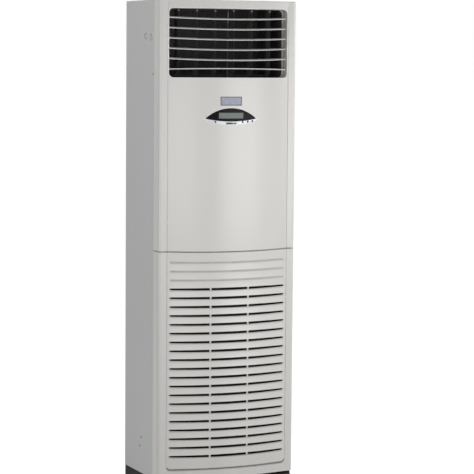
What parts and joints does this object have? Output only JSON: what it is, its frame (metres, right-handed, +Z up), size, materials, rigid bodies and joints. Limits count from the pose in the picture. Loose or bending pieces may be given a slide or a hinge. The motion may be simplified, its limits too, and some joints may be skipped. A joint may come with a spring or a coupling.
{
  "type": "floor standing air conditioner",
  "caption": "Tall floor standing air conditioner with bowed front, tilting outlet blades, swing vanes, display with push buttons and a lean-out intake grille.",
  "frame": {"origin": "on the floor, below the middle of the case's box", "axes": "+X to the viewer's right seen from the front, +Y to the rear, +Z up"},
  "size_m": [0.5424, 0.3784, 1.81],
  "materials": {
    "case_plastic": "white satin moulding",
    "case_steel": "grey-white powder coat",
    "plinth_black": "black powder coat",
    "galvanised": "galvanised sheet",
    "blade_grey": "light grey moulding",
    "duct_black": "black moulding",
    "vane_dark": "dark moulding",
    "lens_black": "gloss black window",
    "lcd_glass": "grey-green display",
    "silver_trim": "satin chrome plating",
    "badge_face": "pale bare plate",
    "button_dark": "dark grey keys",
    "cap_plastic": "grey plugs",
    "screw_steel": "zinc plated",
    "wheel_plastic": "natural moulding",
    "shaft_steel": "ground shaft",
    "motor_shell": "dark motor shell",
    "fin_aluminium": "finned coil",
    "copper": "copper tube",
    "brass": "turned brass",
    "pvc": "white drain pipe",
    "foam": "dark foam insulation",
    "filter_plastic": "filter frame",
    "filter_net": "filter net",
    "board_green": "circuit board",
    "core_steel": "transformer core",
    "terminal_plastic": "terminal strip"
  },
  "bodies": {
    "cabinet": {"base_plinth": "plinth_black", "left_side_panel": "case_steel", "right_side_panel": "case_steel", "rear_panel": "galvanised", "top_cover": "case_steel", "front_panel": "case_plastic", "outlet_duct": "duct_black", "louver_strut": "blade_grey", "swing_motor": "motor_shell", "display_lens": "lens_black", "lcd_panel": "lcd_glass", "display_board": "board_green", "display_bezel": "silver_trim", "badge_frame": "silver_trim", "badge_inlay": "badge_face", "hole_plugs": "cap_plastic", "casing_screws": "screw_steel", "scroll_housing": "galvanised", "inlet_ring": "galvanised", "fan_motor": "motor_shell", "motor_bracket": "galvanised", "blower_deck": "galvanised", "coil_fins": "fin_aluminium", "coil_end_plates": "galvanised", "coil_tubes": "copper", "drain_pan": "pvc", "drain_pipe": "pvc", "liquid_pipe": "copper", "suction_pipe": "copper", "flare_unions": "brass", "air_baffle": "galvanised", "duct_foam": "foam", "control_box": "galvanised", "circuit_board": "board_green", "transformer": "core_steel", "run_capacitor": "fin_aluminium", "terminal_block": "terminal_plastic"},
    "blade_1": {"louver_blade_1": "blade_grey"},
    "vane_1": {"air_vane_1": "vane_dark"},
    "blade_2": {"louver_blade_2": "blade_grey"},
    "vane_2": {"air_vane_2": "vane_dark"},
    "blade_3": {"louver_blade_3": "blade_grey"},
    "vane_3": {"air_vane_3": "vane_dark"},
    "blade_4": {"louver_blade_4": "blade_grey"},
    "vane_4": {"air_vane_4": "vane_dark"},
    "blade_5": {"louver_blade_5": "blade_grey"},
    "vane_5": {"air_vane_5": "vane_dark"},
    "blade_6": {"louver_blade_6": "blade_grey"},
    "vane_6": {"air_vane_6": "vane_dark"},
    "vane_link": {"vane_link_bar": "vane_dark"},
    "blower": {"blower_wheel": "wheel_plastic", "motor_shaft": "shaft_steel"},
    "button_1": {"control_button_1": "button_dark"},
    "button_2": {"control_button_2": "button_dark"},
    "button_3": {"control_button_3": "button_dark"},
    "button_4": {"control_button_4": "button_dark"},
    "power_key": {"power_button": "silver_trim"},
    "grille": {"intake_grille": "case_plastic"},
    "filter": {"filter_frame": "filter_plastic", "filter_mesh": "filter_net"}
  },
  "joints": [
    {"name": "blade_1_tilt", "type": "hinge", "parent": "cabinet", "child": "blade_1", "pos_m": [0, -0.144, 1.7475], "axis": [1, 0, 0], "range_deg": [-37, 13]},
    {"name": "blade_2_tilt", "type": "hinge", "parent": "cabinet", "child": "blade_2", "pos_m": [0, -0.144, 1.7105], "axis": [1, 0, 0], "range_deg": [-37, 13]},
    {"name": "blade_3_tilt", "type": "hinge", "parent": "cabinet", "child": "blade_3", "pos_m": [0, -0.144, 1.6735], "axis": [1, 0, 0], "range_deg": [-37, 13]},
    {"name": "blade_4_tilt", "type": "hinge", "parent": "cabinet", "child": "blade_4", "pos_m": [0, -0.144, 1.6365], "axis": [1, 0, 0], "range_deg": [-37, 13]},
    {"name": "blade_5_tilt", "type": "hinge", "parent": "cabinet", "child": "blade_5", "pos_m": [0, -0.144, 1.5995], "axis": [1, 0, 0], "range_deg": [-37, 13]},
    {"name": "blade_6_tilt", "type": "hinge", "parent": "cabinet", "child": "blade_6", "pos_m": [0, -0.144, 1.56], "axis": [1, 0, 0], "range_deg": [-19, 31]},
    {"name": "vane_1_swing", "type": "hinge", "parent": "cabinet", "child": "vane_1", "pos_m": [-0.18, -0.1, 1.655], "axis": [0, 0, 1], "range_deg": [-35, 35]},
    {"name": "vane_2_swing", "type": "hinge", "parent": "cabinet", "child": "vane_2", "pos_m": [-0.108, -0.1, 1.655], "axis": [0, 0, 1], "range_deg": [-35, 35]},
    {"name": "vane_3_swing", "type": "hinge", "parent": "cabinet", "child": "vane_3", "pos_m": [-0.036, -0.1, 1.655], "axis": [0, 0, 1], "range_deg": [-35, 35]},
    {"name": "vane_4_swing", "type": "hinge", "parent": "cabinet", "child": "vane_4", "pos_m": [0.036, -0.1, 1.655], "axis": [0, 0, 1], "range_deg": [-35, 35]},
    {"name": "vane_5_swing", "type": "hinge", "parent": "cabinet", "child": "vane_5", "pos_m": [0.108, -0.1, 1.655], "axis": [0, 0, 1], "range_deg": [-35, 35]},
    {"name": "vane_6_swing", "type": "hinge", "parent": "cabinet", "child": "vane_6", "pos_m": [0.18, -0.1, 1.655], "axis": [0, 0, 1], "range_deg": [-35, 35]},
    {"name": "vane_link_pivot", "type": "hinge", "parent": "vane_1", "child": "vane_link", "pos_m": [-0.18, -0.082, 1.5385], "axis": [0, 0, 1], "range_deg": [-35, 35]},
    {"name": "blower_spin", "type": "hinge", "parent": "cabinet", "child": "blower", "pos_m": [0, -0.003, 0.43], "axis": [0, 1, 0], "continuous": true},
    {"name": "button_1_press", "type": "slide", "parent": "cabinet", "child": "button_1", "axis": [0, 1, 0], "range_m": [0, 0.001], "stiffness_N_per_m": 300},
    {"name": "button_2_press", "type": "slide", "parent": "cabinet", "child": "button_2", "axis": [0, 1, 0], "range_m": [0, 0.001], "stiffness_N_per_m": 300},
    {"name": "button_3_press", "type": "slide", "parent": "cabinet", "child": "button_3", "axis": [0, 1, 0], "range_m": [0, 0.001], "stiffness_N_per_m": 300},
    {"name": "button_4_press", "type": "slide", "parent": "cabinet", "child": "button_4", "axis": [0, 1, 0], "range_m": [0, 0.001], "stiffness_N_per_m": 300},
    {"name": "power_press", "type": "slide", "parent": "cabinet", "child": "power_key", "axis": [0, 1, 0], "range_m": [0, 0.001], "stiffness_N_per_m": 400},
    {"name": "grille_tilt", "type": "hinge", "parent": "cabinet", "child": "grille", "pos_m": [0, -0.15, 0.063], "axis": [1, 0, 0], "range_deg": [0, 12]},
    {"name": "filter_lift", "type": "slide", "parent": "cabinet", "child": "filter", "axis": [0, 0, 1], "range_m": [0, 0.02]}
  ],
  "couplings": [
    {"joint": "vane_2_swing", "follows": "vane_1_swing", "ratio": 1},
    {"joint": "vane_3_swing", "follows": "vane_1_swing", "ratio": 1},
    {"joint": "vane_4_swing", "follows": "vane_1_swing", "ratio": 1},
    {"joint": "vane_5_swing", "follows": "vane_1_swing", "ratio": 1},
    {"joint": "vane_6_swing", "follows": "vane_1_swing", "ratio": 1},
    {"joint": "vane_link_pivot", "follows": "vane_1_swing", "ratio": -1}
  ]
}
